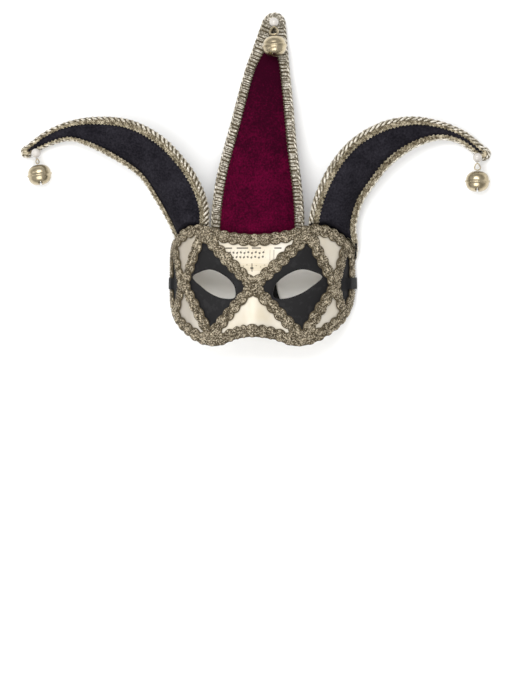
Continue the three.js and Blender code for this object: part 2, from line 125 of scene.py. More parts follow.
class Track:
    # a line that is read by its length, in millimetres
    def __init__(self, points, closed=False):
        self.points = points + points[:1] if closed else points
        self.reach = [0]
        for a, b in zip(self.points, self.points[1:]):
            self.reach.append(self.reach[-1] + (b - a).length)
        self.length = self.reach[-1]
        self.closed = closed
        self.here = 0
        self.part = 0

    def at(self, distance):
        # the place there; here and part tell which stretch it is on, and how far along
        distance = distance % self.length if self.closed else min(max(distance, 0), self.length)
        if self.reach[self.here] > distance:
            self.here = 0
        while self.here < len(self.reach) - 2 and self.reach[self.here + 1] < distance:
            self.here += 1
        span = self.reach[self.here + 1] - self.reach[self.here]
        self.part = (distance - self.reach[self.here]) / max(span, 1e-9)
        return self.points[self.here].lerp(self.points[self.here + 1], self.part)

    def run(self, distance):
        return (self.at(distance + 0.4) - self.at(distance - 0.4)).normalized()


def rounded(turn, reachPower, risePower):
    # the two sides of a rounded oblong at a turn, each from -1 to 1
    reach, rise = cos(turn), sin(turn)
    return copysign(abs(reach) ** reachPower, reach), copysign(abs(rise) ** risePower, rise)


def meshOf(bm, name="part"):
    mesh = bpy.data.meshes.new(name)
    bm.to_mesh(mesh)
    bm.free()
    return mesh


def finishMesh(name, bm, materials, smooth=True):
    mesh = meshOf(bm, name)
    for material in materials:
        mesh.materials.append(material)
    for face in mesh.polygons:
        face.use_smooth = smooth
    return addObject(name, mesh)


def wrappedGrid(around, along, shape, capped=True):
    # a tube whose skin is a grid: shape gives the place at a share round it and a share along it
    bm = bmesh.new()
    bmesh.ops.create_grid(bm, x_segments=around, y_segments=along, size=0.5)
    uvLayer = bm.loops.layers.uv.new("weave")
    for face in bm.faces:
        for loop in face.loops:
            loop[uvLayer].uv = (loop.vert.co.x + 0.5, loop.vert.co.y + 0.5)
    for vert in bm.verts:
        vert.co = toTable(shape(vert.co.x + 0.5, vert.co.y + 0.5))
    bmesh.ops.remove_doubles(bm, verts=bm.verts, dist=1e-6)
    if capped:
        bmesh.ops.holes_fill(bm, edges=bm.edges, sides=0)
    bmesh.ops.recalc_face_normals(bm, faces=bm.faces)
    return bm


def yarnMesh(lines, radius, closed=False, roundness=1, beads=0):
    # round yarns along lines of places in millimetres, as one mesh; beads pinch every second point
    curve = bpy.data.curves.new("yarn", "CURVE")
    curve.dimensions = "3D"
    curve.bevel_depth = radius * mm
    curve.bevel_resolution = roundness
    curve.use_fill_caps = True
    for line in lines:
        spline = curve.splines.new("POLY")
        spline.points.add(len(line) - 1)
        for i, (point, place) in enumerate(zip(spline.points, line)):
            point.co = (*toTable(place), 1)
            point.radius = 1 - beads * (i % 2)
        spline.use_cyclic_u = closed
    holder = bpy.data.objects.new("yarn", curve)
    mesh = bpy.data.meshes.new_from_object(holder)
    bpy.data.objects.remove(holder)
    bpy.data.curves.remove(curve)
    return mesh


def block(size, centre):
    bm = bmesh.new()
    bmesh.ops.create_cube(bm, size=1)
    bmesh.ops.scale(bm, verts=bm.verts, vec=size)
    bmesh.ops.translate(bm, verts=bm.verts, vec=centre)
    return bm


def joined(name, parts, materials):
    # one piece from meshes, each with the number of its material
    bm = bmesh.new()
    for mesh, index in parts:
        before = len(bm.faces)
        bm.from_mesh(mesh)
        bm.faces.ensure_lookup_table()
        for face in bm.faces[before:]:
            face.material_index = index
        bpy.data.meshes.remove(mesh)
    return finishMesh(name, bm, materials)


# Materials


def mathNode(operation, swapped=False):
    # a method that makes a Math node of its wire and, where there is one, a second value
    def apply(wire, *others):
        values = (*others, wire) if swapped else (wire, *others)
        return wire.node("ShaderNodeMath", {"operation": operation}, dict(enumerate(values)))

    return apply


class Wire:
    # a socket in a material's tree: sums written with it become Math nodes
    __add__ = mathNode("ADD")
    __radd__ = mathNode("ADD", swapped=True)
    __sub__ = mathNode("SUBTRACT")
    __rsub__ = mathNode("SUBTRACT", swapped=True)
    __mul__ = mathNode("MULTIPLY")
    __truediv__ = mathNode("DIVIDE")
    __gt__ = mathNode("GREATER_THAN")
    __lt__ = mathNode("LESS_THAN")
    __abs__ = mathNode("ABSOLUTE")
    atLeast = mathNode("MAXIMUM")
    atMost = mathNode("MINIMUM")
    modulo = mathNode("MODULO")
    root = mathNode("SQRT")
    sine = mathNode("SINE")

    def __init__(self, tree, socket=None):
        self.tree = tree
        self.socket = socket

    def node(self, kind, settings=None, values=None, out=0):
        made = self.tree.nodes.new(kind)
        for name, value in (settings or {}).items():
            if name == "stops":
                while len(made.color_ramp.elements) < len(value):
                    made.color_ramp.elements.new(1)
                for element, (place, shade) in zip(made.color_ramp.elements, value):
                    element.position = place
                    element.color = shade
            else:
                setattr(made, name, value)
        for name, value in (values or {}).items():
            if isinstance(value, Wire):
                self.tree.links.new(value.socket, made.inputs[name])
            else:
                made.inputs[name].default_value = value
        return Wire(self.tree, made.outputs[out] if made.outputs else None)

    def noise(self, scale, detail=2.0, roughness=0.5):
        return self.node(
            "ShaderNodeTexNoise",
            {"normalize": True},
            {"Vector": self, "Scale": scale, "Detail": detail, "Roughness": roughness},
        )

    def ramp(self, stops):
        return self.node("ShaderNodeValToRGB", {"stops": stops}, {"Fac": self})

    def blend(self, low, high):
        # a colour between two, by this wire
        return self.node("ShaderNodeMix", {"data_type": "RGBA"}, {0: self, 6: low, 7: high}, out=2)


def colour(*shares):
    return (*((share / 255) ** 2.2 for share in shares), 1)


def newMaterial(name, shade):
    # shade gets the object's coordinates and gives the values of the Principled shader's sockets
    material = bpy.data.materials.new(name)
    material.use_nodes = True
    tree = material.node_tree
    tree.nodes.clear()
    start = Wire(tree)
    place = start.node("ShaderNodeTexCoord", out=3)
    skin = start.node("ShaderNodeBsdfPrincipled", None, shade(place))
    start.node("ShaderNodeOutputMaterial", None, {"Surface": skin})
    return material


def bump(wire, strength, depth):
    values = {"Strength": strength, "Distance": depth * mm, "Height": wire}
    return wire.node("ShaderNodeBump", None, values)


# The face's form, the same as the solid's

faceForm = {
    "halfWidth": 78, "rimAngle": 86, "bowDepth": 57, "foreheadFall": 7, "cheekFall": 8, "wall": 2.6,
    "noseWidth": 12.5, "noseTop": 16, "noseFoot": -42, "noseRise": 13, "socketCentre": (35, 3),
    "socketSize": (19, 13), "socketDepth": 4, "browHeight": 25, "browSpread": 9, "browRise": 1.6,
}
topEdge = (
    (0, 44), (15, 45.5), (28, 49.5), (39, 52), (50, 50.5), (60, 45.5), (68, 41.5), (76, 38), (82, 33),
    (86, 26),
)
bottomEdge = (
    (0, -42), (12, -44.5), (24.5, -50), (36, -48.5), (49, -41.5), (60, -34.5), (68, -28.5), (76, -22),
    (82, -17), (86, -11),
)
eyeHole = (
    (16.5, -9), (17, 0), (24, 8), (38, 14.5), (49, 12.5), (55.5, 8.5), (47, 0), (38, -6), (27, -9.8),
)


def smoothStep(value, low, high):
    share = min(max((value - low) / (high - low), 0), 1)
    return share * share * (3 - 2 * share)


def through(knots):
    # a smooth line through knots of two numbers, read as second number over first
    def slope(i):
        before, after = knots[max(i - 1, 0)], knots[min(i + 1, len(knots) - 1)]
        return (after[1] - before[1]) / (after[0] - before[0])

    def read(place):
        at = min(max(place, knots[0][0]), knots[-1][0])
        i = max(k for k in range(len(knots) - 1) if knots[k][0] <= at)
        (first, low), (last, high) = knots[i : i + 2]
        span, rise = last - first, high - low
        t = (at - first) / span
        bend = t * (1 - t) * ((1 - t) * (slope(i) * span - rise) - t * (slope(i + 1) * span - rise))
        return low + rise * t + bend

    return read


topOf = through(topEdge)
bottomOf = through(bottomEdge)


def surfacePoint(angle, height):
    # a place on the bare front, by an angle round the bow and a height
    turn = radians(angle)
    rim = cos(radians(faceForm["rimAngle"]))
    x = faceForm["halfWidth"] * sin(turn)
    fall = faceForm["foreheadFall"] if height > 0 else faceForm["cheekFall"]
    depth = faceForm["bowDepth"] - fall * (height / 50) ** 2
    bow = depth * (cos(turn) - rim) / (1 - rim)
    down = smoothStep(-height, -faceForm["noseTop"], -faceForm["noseFoot"])
    nose = faceForm["noseRise"] * down * exp(-((x / faceForm["noseWidth"]) ** 2))
    socketX, socketY = faceForm["socketCentre"]
    socketWide, socketHigh = faceForm["socketSize"]
    away = ((abs(x) - socketX) / socketWide) ** 2 + ((height - socketY) / socketHigh) ** 2
    browShape = exp(-(((height - faceForm["browHeight"]) / faceForm["browSpread"]) ** 2))
    brow = faceForm["browRise"] * browShape * cos(turn)
    return Vector((x, height, bow + nose + brow - faceForm["socketDepth"] * exp(-away)))


def surfaceFrame(angle, height):
    # the way out of the face, with how many millimetres a degree and a step of height make there
    step = 0.2
    across = surfacePoint(angle + step, height) - surfacePoint(angle - step, height)
    rise = surfacePoint(angle, height + step) - surfacePoint(angle, height - step)
    return across.length / (2 * step), rise.length / (2 * step), across.cross(rise).normalized()


def facePoint(angle, height, lift=0.0):
    return surfacePoint(angle, height) + surfaceFrame(angle, height)[2] * lift


def angleOf(x):
    return degrees(asin(x / faceForm["halfWidth"]))


class FaceStrip(Track):
    # a line over the face; a place beside it follows the face
    def __init__(self, places, closed=False):
        line = smoothLine([Vector((*place, 0)) for place in places], closed, 16)
        super().__init__([surfacePoint(place.x, place.y) for place in line], closed)
        self.places = line + line[:1] if closed else line
        self.ways = [(b - a).normalized() for a, b in zip(self.places, self.places[1:])]

    def place(self, along, across, lift):
        self.at(along)
        here, count = self.here, len(self.ways)
        spot = self.places[here].lerp(self.places[here + 1], self.part)
        perDegree, perHeight, _ = surfaceFrame(spot.x, spot.y)
        # the way the line runs, eased from one stretch to the next
        back = self.ways[here - 1 if here or self.closed else 0]
        ahead = self.ways[(here + 1) % count if self.closed else min(here + 1, count - 1)]
        step = (back + self.ways[here]).lerp(self.ways[here] + ahead, self.part)
        run = Vector((step.x * perDegree, step.y * perHeight)).normalized()
        return facePoint(spot.x - across * run.y / perDegree, spot.y + across * run.x / perHeight, lift)


# Finishes

paints = {
    "paper": colour(211, 205, 193), "oldPaper": colour(197, 184, 157),
    # the greyer paper tone is painted shade for the side panels
    "paintedSideShade": colour(152, 144, 132), "print": colour(46, 41, 34), "black": colour(22, 21, 22),
    "blackWorn": colour(31, 30, 31),
    "antique": ((0.32, colour(50, 41, 29)), (0.5, colour(120, 107, 83)), (0.66, colour(216, 204, 180))),
    "silver": ((0.3, colour(84, 77, 66)), (0.48, colour(149, 141, 124)), (0.66, colour(218, 212, 200))),
    "golden": ((0.3, colour(74, 64, 48)), (0.48, colour(144, 132, 106)), (0.66, colour(216, 205, 180))),
    "bright": ((0.3, colour(120, 112, 94)), (0.46, colour(182, 174, 156)), (0.62, colour(230, 224, 212))),
    # the black velvet, also used as painted shade inside the ropes
    "blackVelvetAndShade": (colour(25, 24, 28), colour(56, 54, 60)),
    "burgundy": (colour(46, 6, 26), colour(106, 10, 52)),
    "gold": (colour(184, 171, 144), colour(106, 94, 70)),
    "inside": (colour(214, 207, 190), colour(188, 178, 156)),
    # the braids' dark ground, which also serves as painted shade
    "groundAndShade": (colour(44, 38, 28), colour(106, 94, 71)),
    "pearl": (colour(200, 195, 189), colour(171, 165, 158)),
    "steel": (colour(222, 222, 220), colour(160, 160, 160)),
    "satin": (colour(8, 8, 9), colour(23, 22, 24)),
    "table": (colour(251, 251, 250), colour(248, 248, 248)),
}


def axes(place):
    # the mask's own X and Y in millimetres
    across, upward = (place.node("ShaderNodeSeparateXYZ", None, {0: place}, out) for out in (0, 1))
    return across * 1000 - faceX, upward * 1000 - faceY


def box(x, y, low, high):
    # 1 inside a rectangle
    return (x > low[0]) * (x < high[0]) * (y > low[1]) * (y < high[1])


diamondCorners = {
    "left": ((0, 0), (46, 46), (62.4, 2), (38.5, -41.5)),
    "right": ((0, 0), (45.5, 44), (65.4, 1), (40, -43)),
}
printLayout = {
    "dashes": ((-25, -19), (-15, -5), (-2, 6), (17, 23)),
    "dashRows": (31.9, 33.1), "dotRows": (28.6, 24.8), "dotPitch": 3.2, "dotSize": 0.92,
    "dotReach": (-22, 10), "staff": (13.6, 19.2), "barLines": (13.4, 16.2, 16.9),
}


def insideDiamond(corners, x, y):
    # how far a place is inside the diamond, in millimetres
    least = None
    for (ax, ay), (bx, by) in zip(corners, corners[1:] + corners[:1]):
        length = hypot(bx - ax, by - ay)
        inside = (x - ax) * ((by - ay) / length) - (y - ay) * ((bx - ax) / length)
        least = inside if least is None else least.atMost(inside)
    return least


def printedMarks(x, y):
    # rows of dashes and dots over a staff: a made-up page of notation
    marks = box(x, y, (-1.9, 12.6), (-1.1, 19.6)) + box(x, y, (-2.9, 14.6), (-0.3, 16.4))
    for low, high in printLayout["dashes"]:
        marks = marks + box(x, y, (low, printLayout["dashRows"][0]), (high, printLayout["dashRows"][1]))
    low, high = printLayout["dotReach"]
    pitch = printLayout["dotPitch"]
    for row, height in enumerate(printLayout["dotRows"]):
        across = (x + (100 * pitch + row * 0.4)).modulo(pitch) - pitch / 2
        wave = (x * 0.9 + row).sine() * 0.4
        up = y - height - wave
        near = (across * across + up * up).root()
        stem = (abs(across - 0.75) < 0.16) * (up > 0) * (up < 2.4)
        marks = marks + ((near < printLayout["dotSize"]) + stem * 0.45) * (x > low) * (x < high)
    for place in printLayout["barLines"]:
        marks = marks + box(x, y, (place, 22), (place + 0.4, 31)) * 0.6
    low, high = printLayout["staff"]
    for line in range(5):
        height = low + (high - low) * line / 4
        marks = marks + box(x, y, (-40, height - 0.12), (40, height + 0.12)) * 0.3
    for place, height in ((-9.5, 17.2), (-6.4, 18.4), (1.6, 17.6), (5.2, 16.6), (8.6, 18.2)):
        marks = marks + box(x, y, (place, height - 0.45), (place + 1.1, height + 0.45)) * 0.55
    return marks.atMost(1)


def shadePaper(place):
    x, y = axes(place)
    wide = abs(x)
    leftDiamond = insideDiamond(diamondCorners["left"], x * -1, y) > 0
    diamond = leftDiamond.atLeast(insideDiamond(diamondCorners["right"], x, y) > 0)
    temple = (wide - abs(y - 2) * 0.24) > 64.7
    black = diamond.atLeast(temple)
    mottle = place.noise(28, 3, 0.6)
    grain = place.noise(900, 2, 0.6)
    paper = ((mottle - 0.35) * 2.2).blend(paints["paper"], paints["oldPaper"])
    # painted shade: the paper is greyed towards both sides, more on the left than on the right
    shaded = ((wide - 44) / 14).atLeast(0).atMost(1) * (0.62 - x * 0.004)
    paper = shaded.blend(paper, paints["paintedSideShade"])
    band = box(x, y, (-40, printLayout["staff"][0]), (40, printLayout["staff"][1])) * 0.6
    marks = printedMarks(x, y) * (y > 12) * (0.72 + grain * 0.3)
    paper = band.blend(paper, paints["oldPaper"])
    paper = marks.blend(paper, paints["print"])
    paint = (place.noise(160, 4, 0.65) > 0.56).blend(paints["black"], paints["blackWorn"])
    brushed = (grain * 0.5 + place.noise(220, 4, 0.7)) * 0.5
    return {
        "Base Color": black.blend(paper, paint),
        "Roughness": 0.34 + black * 0.2 + mottle * 0.12,
        "Specular IOR Level": 0.24,
        "Coat Weight": 0.2 - black * 0.2,
        "Coat Roughness": 0.18,
        "Normal": bump(brushed, 0.35, 0.25),
    }


twoTones = {
    "inside": {"noise": (180, 5, 0.7), "spread": (0.4, 3), "rough": 0.85, "relief": (0.6, 0.6)},
    "groundAndShade": {"noise": (700, 3, 0.7), "rough": 0.75, "relief": (0.7, 0.4), "others": {"Metallic": 0.25}},
    "gold": {
        "noise": (120, 4, 0.6), "spread": (0.42, 2.4), "rough": 0.2, "wear": 0.14, "relief": (0.12, 0.3),
        "dents": (260, 2, 0.5), "others": {"Metallic": 1},
    },
    "pearl": {
        "noise": (240, 3, 0.5), "rough": 0.16, "wear": 0.1,
        "others": {"Coat Weight": 0.5, "Coat Roughness": 0.08},
    },
    "steel": {"noise": (300, 3, 0.6), "rough": 0.15, "wear": 0.15, "others": {"Metallic": 1}},
    "table": {"noise": (3, 2, 0.5), "rough": 0.7},
}


def twoTone(sort, noise, rough, spread=None, wear=0, relief=None, dents=None, others=None):
    # two tones mixed by a noise, which may wear the gloss too; dents are another noise, for the relief
    def shade(place):
        spots = place.noise(*noise)
        share = (spots - spread[0]) * spread[1] if spread else spots
        made = {"Base Color": share.blend(*paints[sort]), "Roughness": rough, **(others or {})}
        if wear:
            made["Roughness"] = rough + spots * wear
        if relief:
            made["Normal"] = bump(place.noise(*dents) if dents else spots, *relief)
        return made

    return shade


def metalYarn(sort, gloss, grain, contrast=1.25):
    def shade(place):
        flecks = place.noise(grain, 2, 0.75)
        broad = place.noise(170, 2, 0.5)
        return {
            "Base Color": ((flecks - 0.5) * contrast + broad * 0.4 + 0.3).ramp(paints[sort]),
            "Metallic": 0.4,
            "Roughness": gloss + flecks * 0.3,
            "Normal": bump(place.noise(1500, 2, 0.6), 0.8, 0.35),
        }

    return shade


def velvet(sort, darkening=0):
    def shade(place):
        nap = place.noise(60, 4, 0.66)
        pile = place.noise(620, 3, 0.7)
        y = axes(place)[1]
        # the velvet is made darker towards the horn's tip, by darkening
        tip = ((y - 95) / 90).atLeast(0).atMost(1) * darkening
        return {
            "Base Color": ((nap - 0.3) * 0.9 + (pile - 0.5) * 1.5 + 0.06 - tip).blend(*paints[sort]),
            "Roughness": 0.9,
            "Specular IOR Level": 0.04,
            "Normal": bump(pile + nap * 0.6, 0.7, 0.7),
        }

    return shade


def shadeSatin(place):
    weave = place.node("ShaderNodeTexCoord", out=2)
    across, along = (weave.node("ShaderNodeSeparateXYZ", None, {0: weave}, out) for out in (0, 1))
    ribs = (along * 2400).sine()
    selvedge = abs((across * 2).modulo(1) - 0.5) > 0.44
    threads = place.noise(900, 2, 0.6)
    return {
        "Base Color": (threads * 0.6 + selvedge * 0.4).blend(*paints["satin"]),
        "Roughness": 0.5 + threads * 0.16 + selvedge * 0.2,
        "Specular IOR Level": 0.17,
        "Normal": bump(ribs * 0.4 + selvedge + threads * 0.5, 0.4, 0.15),
    }


shades = {
    "paper": ("printed paper", shadePaper),
    "inside": ("bare papier mache", None),
    "antique": ("antique metal yarn", metalYarn("antique", 0.28, 760, 1.75)),
    "silver": ("pale metal yarn", metalYarn("silver", 0.28, 700, 1.15)),
    "golden": ("golden metal yarn", metalYarn("golden", 0.3, 450)),
    "bright": ("bright metal cord", metalYarn("bright", 0.24, 450)),
    # the braids' dark ground, also painted shade along the scallops, at the shell's edge rows and in the
    # centre horn's picot
    "groundAndShade": ("dark braid ground and painted shade", None),
    "blackVelvetAndShade": ("black velvet, also painted shade", velvet("blackVelvetAndShade")),
    "burgundy": ("burgundy velvet", velvet("burgundy", 0.35)),
    "gold": ("pale gold metal", None),
    "pearl": ("pearl", None),
    "steel": ("steel", None),
    "satin": ("black satin", shadeSatin),
    "table": ("pale table", None),
}
finishes = {}
for sort, (name, shade) in shades.items():
    finishes[sort] = newMaterial(name, shade or twoTone(sort, **twoTones[sort]))
print("finishes made")


def settle(piece, slot, *nodes):
    # the piece stands for its solids and rides with the whole mask
    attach(piece, "root")
    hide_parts(*nodes)


# Satin ties

ribbonCut = {"width": 9.6, "thickness": 0.6, "height": 3.5, "length": 300, "cordWidth": 10}
ribbonOverRim = ((62.2, 1.4), (65, 1.3), (69, 1.5), (72, 3.3), (76, 3.5), (80, 3.5), (83.5, 3.3))
ribbonUnder = ((80.6, 1.6), (79, 0.95), (76, 0.8), (72, 0.8))
ribbonLying = (
    (66.5, -0.5), (59, -13), (49.5, -24), (38, -29.5), (25, -27.5), (14, -18.5), (8, -5), (6.5, 11),
    (6.5, 40), (6.5, 80), (6.5, 125), (6.5, 168),
)
ribbonLean = {"from": 20, "to": 168, "far": 7}


def ribbonRoute(side):
    # over the rim, in under it and up beneath the centre horn
    route = []
    for i, (angle, lift) in enumerate(ribbonOverRim):
        route.append(facePoint(side * angle, ribbonCut["height"] - 1 + i / 6, lift))
    for x, z in ribbonUnder:
        route.append(Vector((side * x, ribbonCut["height"], z)))
    for x, y in ribbonLying:
        lean = ribbonLean["far"] * smoothStep(y, ribbonLean["from"], ribbonLean["to"])
        route.append(Vector((side * x + lean, y, ribbonUnder[-1][1])))
    return smoothLine(route, steps=8)


def flatFrames(line):
    # the ribbon's own width direction at each place of its line, carried along without twist
    wide = Vector((0, 1, 0))
    frames = []
    for i, place in enumerate(line):
        run = (line[min(i + 1, len(line) - 1)] - line[max(i - 1, 0)]).normalized()
        wide = (wide - run * wide.dot(run)).normalized()
        frames.append((place, wide.copy(), run.cross(wide)))
    return frames


def makeRibbon(name, side):
    line = ribbonRoute(side)
    frames = flatFrames(line)

    def shape(around, along):
        place, wide, flat = frames[round(along * (len(frames) - 1))]
        reach, lift = rounded(tau * around, 0.25, 0.6)
        return place + wide * (reach * ribbonCut["width"] / 2) + flat * (lift * ribbonCut["thickness"] / 2)

    piece = finishMesh(name, wrappedGrid(40, len(frames) - 1, shape), [finishes["satin"]])
    settle(piece, "black_satin", name)


for name, side in (("left", -1), ("right", 1)):
    makeRibbon("ribbon_" + name, side)
print("ties laid")


# The moulded shell

shellMesh = {
    "columns": 220, "rows": 104, "crowding": 1.12, "holeLip": 1.6, "lipFall": 0.7, "edgeShadeRows": 4,
    "cutHeights": (10, 80), "ground": Vector((400, 400, 40)), "notchWidth": 13, "notchDepth": 2.1,
}


def eyeLine(side):
    # the almond outline of an eye hole, seen from the front
    return smoothLine([Vector((side * x, y, 0)) for x, y in eyeHole], closed=True, steps=10)


def distanceTo(line, x, y):
    place = Vector((x, y, 0))
    return min((place - point).length for point in line)


def frontSheet():
    # the bowed front as one sheet, with its surface turned in a little at the eye holes
    lines = [eyeLine(1), eyeLine(-1)]
    bm = bmesh.new()
    bmesh.ops.create_grid(bm, x_segments=shellMesh["columns"], y_segments=shellMesh["rows"], size=1)
    for vert in bm.verts:
        across, upward = vert.co.x, vert.co.y
        angle = copysign(abs(across) ** shellMesh["crowding"], across) * faceForm["rimAngle"]
        low, high = bottomOf(abs(angle)), topOf(abs(angle))
        height = low + (high - low) * (upward + 1) / 2
        place = facePoint(angle, height)
        if 12 < abs(place.x) < 60 and -14 < height < 19:
            near = distanceTo(lines[0 if place.x > 0 else 1], place.x, height)
            turned = max(1 - near / shellMesh["holeLip"], 0) ** 2
            place = facePoint(angle, height, -shellMesh["lipFall"] * turned)
        vert.co = toTable(place)
    bm.faces.ensure_lookup_table()
    for i, face in enumerate(bm.faces):
        row = i // shellMesh["columns"]
        # the rows along the top and bottom edges take the dark braid ground: painted shade where the edge
        # meets the rim braid
        if not shellMesh["edgeShadeRows"] <= row < shellMesh["rows"] - shellMesh["edgeShadeRows"]:
            face.material_index = 2
    return bm


def cutterAlong(line, low, high):
    # an upright prism through an outline
    bm = bmesh.new()
    verts = [bm.verts.new(toTable((point.x, point.y, low))) for point in line]
    foot = bm.faces.new(verts)
    raised = bmesh.ops.extrude_face_region(bm, geom=[foot])
    top = [item for item in raised["geom"] if isinstance(item, bmesh.types.BMVert)]
    bmesh.ops.translate(bm, verts=top, vec=up * (high - low) * mm)
    bmesh.ops.recalc_face_normals(bm, faces=bm.faces)
    return bm


def cutAway(piece, cutters):
    # cuts each closed mesh out of the piece for good
    for bm in cutters:
        tool = finishMesh("cutter", bm, [])
        cut = piece.modifiers.new("cut", "BOOLEAN")
        cut.operation = "DIFFERENCE"
        cut.solver = "EXACT"
        cut.object = tool
        bakeModifiers(piece)
        bpy.data.objects.remove(tool)


def bakeModifiers(piece):
    bpy.context.view_layer.update()
    shaped = piece.evaluated_get(bpy.context.evaluated_depsgraph_get())
    mesh = bpy.data.meshes.new_from_object(shaped)
    piece.modifiers.clear()
    piece.data = mesh


def makeShell():
    materials = [finishes[name] for name in ("paper", "inside", "groundAndShade", "inside")]
    shell = finishMesh("mask_shell_form", frontSheet(), materials)
    wall = shell.modifiers.new("wall", "SOLIDIFY")
    wall.thickness = faceForm["wall"] * mm
    wall.offset = -1
    wall.use_even_offset = True
    wall.material_offset = 1
    wall.material_offset_rim = 0
    bakeModifiers(shell)
    cutters = [cutterAlong(eyeLine(side), *shellMesh["cutHeights"]) for side in (1, -1)]
    cutters.append(block(shellMesh["ground"] * mm, toTable((0, 0, -shellMesh["ground"].z / 2))))
    notch = Vector((20, shellMesh["notchWidth"], 2 * shellMesh["notchDepth"])) * mm
    for side in (1, -1):
        cutters.append(block(notch, toTable((side * faceForm["halfWidth"], ribbonCut["height"], 0))))
    cutAway(shell, cutters)
    shell.data.set_sharp_from_angle(angle=radians(50))
    settle(shell, "printed_paper", "mask_shell")


makeShell()
print("shell moulded")


# Scalloped braid

gimp = {
    "pitch": 18, "reach": 3.9, "curl": 3.9, "yarn": 0.4, "abreast": (-0.74, 0, 0.74), "lift": 1.7,
    "weave": 0.5, "steps": 48, "cordSwirl": 0.55, "cordYarn": 0.5, "cordPitch": 2.8, "cordSteps": 9,
    "cordLift": 2.0, "thread": 0.27, "threadPitch": 2.1, "threadSteps": 6, "threadReach": 2.4,
    "threadSwing": 1.1, "threadLift": 0.95, "threadWave": 0.2, "groundAndShadePeak": 5.7, "groundAndShadeValley": 3.7,
    "bedThick": 1.5, "bedStep": 1.1,
}
rimLine = (
    (0, 39), (15, 40.8), (28, 44.6), (39, 47.6), (50, 45.9), (59, 41.4), (67, 36.9), (74, 31.5), (78.4, 24),
    (79.2, 13), (79.2, -1), (77.6, -9), (73, -15.5), (66.5, -23), (58, -30), (48, -36.5), (36, -43.2),
    (24.5, -44.6), (12, -39.4), (0, -37),
)
sideLine = ((68, 36), (63.5, 22), (58.8, 8), (57.4, 2), (58.8, -5), (62.6, -15), (66, -23))
cornerInset = {"inner": 2.2, "other": 1.4, "along": 5}


def scallopGroundAndShade(strip, pitch):
    # the dark woven ground under the loops, whose edge reaches past them and follows them: partly the braid's
    # ground, partly painted shade along the scallops
    stations = round(strip.length / gimp["bedStep"])

    def shape(around, along):
        across, rise = rounded(tau * around, 0.5, 0.5)
        reach = strip.length * along
        wave = abs(cos(tau * reach / pitch)) ** 0.8
        half = gimp["groundAndShadeValley"] + (gimp["groundAndShadePeak"] - gimp["groundAndShadeValley"]) * wave
        return strip.place(reach, across * half, 0.15 + gimp["bedThick"] * (0.5 + 0.5 * rise))

    return meshOf(wrappedGrid(12, stations, shape, capped=not strip.closed))


def makeGimp(name, strip):
    turns = strip.length / gimp["pitch"]
    if strip.closed:
        turns = round(turns)
    pitch = strip.length / turns

    def lined(count, offset):
        # a line of count steps along the strip: offset gives each step's way along, across and out
        places = range(count if strip.closed else count + 1)
        return [strip.place(*offset(i, strip.length * i / count)) for i in places]

    def loop(way, beside):
        # half of the weave: a wave that curls back on itself, moved sideways for the yarns next to it
        count = round(turns * gimp["steps"])

        def offset(i, _):
            swing = tau * i / count * turns
            place = Vector((pitch * swing / tau, 0))
            place += Vector((-gimp["curl"] * sin(2 * swing), way * gimp["reach"] * cos(swing)))
            run = Vector((pitch / tau - 2 * gimp["curl"] * cos(2 * swing), 0))
            run.y = -way * gimp["reach"] * sin(swing)
            place += run.normalized().orthogonal() * beside
            return place.x, place.y, gimp["lift"] + way * gimp["weave"] * sin(swing)

        return lined(count, offset)

    def cord(ply):
        swirl, steps = gimp["cordSwirl"], gimp["cordSteps"]

        def offset(i, along):
            turn = tau * (i / steps + ply / 2)
            return along, swirl * cos(turn), gimp["cordLift"] + swirl * sin(turn)

        return lined(round(strip.length / gimp["cordPitch"]) * steps, offset)

    def thread(side):
        lift = gimp["lift"] + gimp["threadLift"]

        def offset(i, along):
            turn = tau * i / gimp["threadSteps"]
            across = gimp["threadReach"] + gimp["threadSwing"] * cos(turn)
            return along, side * across, lift + gimp["threadWave"] * sin(turn)

        return lined(round(strip.length / gimp["threadPitch"]) * gimp["threadSteps"], offset)

    loops = [loop(*each) for each in itertools.product((1, -1), gimp["abreast"])]
    parts = [(scallopGroundAndShade(strip, pitch), 1)]
    for lines, radius, beads in (
        (loops, gimp["yarn"], 0.3),
        ([cord(ply) for ply in (0, 1)], gimp["cordYarn"], 0.2),
        ([thread(side) for side in (1, -1)], gimp["thread"], 0.3),
    ):
        parts.append((yarnMesh(lines, radius, strip.closed, roundness=0, beads=beads), 0))
    piece = joined(name + "_gimp", parts, [finishes["antique"], finishes["groundAndShade"]])
    settle(piece, "antique_braid", name)


def diamondPlaces(name, side):
    # round the four corners, eased at each, as places on the face
    places = []
    middle = Vector((37, 1))
    corners = [Vector(corner) for corner in diamondCorners[name]]
    for i, corner in enumerate(corners):
        before, after = corners[i - 1], corners[(i + 1) % 4]
        inset = cornerInset["inner"] if i == 0 else cornerInset["other"]
        places.append(corner + (before - corner).normalized() * cornerInset["along"])
        places.append(corner + (middle - corner).normalized() * inset)
        places.append(corner + (after - corner).normalized() * cornerInset["along"])
        places += [corner.lerp(after, share) for share in (0.3, 0.5, 0.7)]
    return [(side * angleOf(place.x), place.y) for place in places]


rimPlaces = [*rimLine, *((-angle, height) for angle, height in rimLine[-2:0:-1])]
makeGimp("rim_braid", FaceStrip(rimPlaces, closed=True))
for name, side in (("left", -1), ("right", 1)):
    makeGimp("diamond_braid_" + name, FaceStrip(diamondPlaces(name, side), closed=True))
    makeGimp("side_braid_" + name, FaceStrip([(side * angle, height) for angle, height in sideLine]))
print("scalloped braid sewn")


# Horns

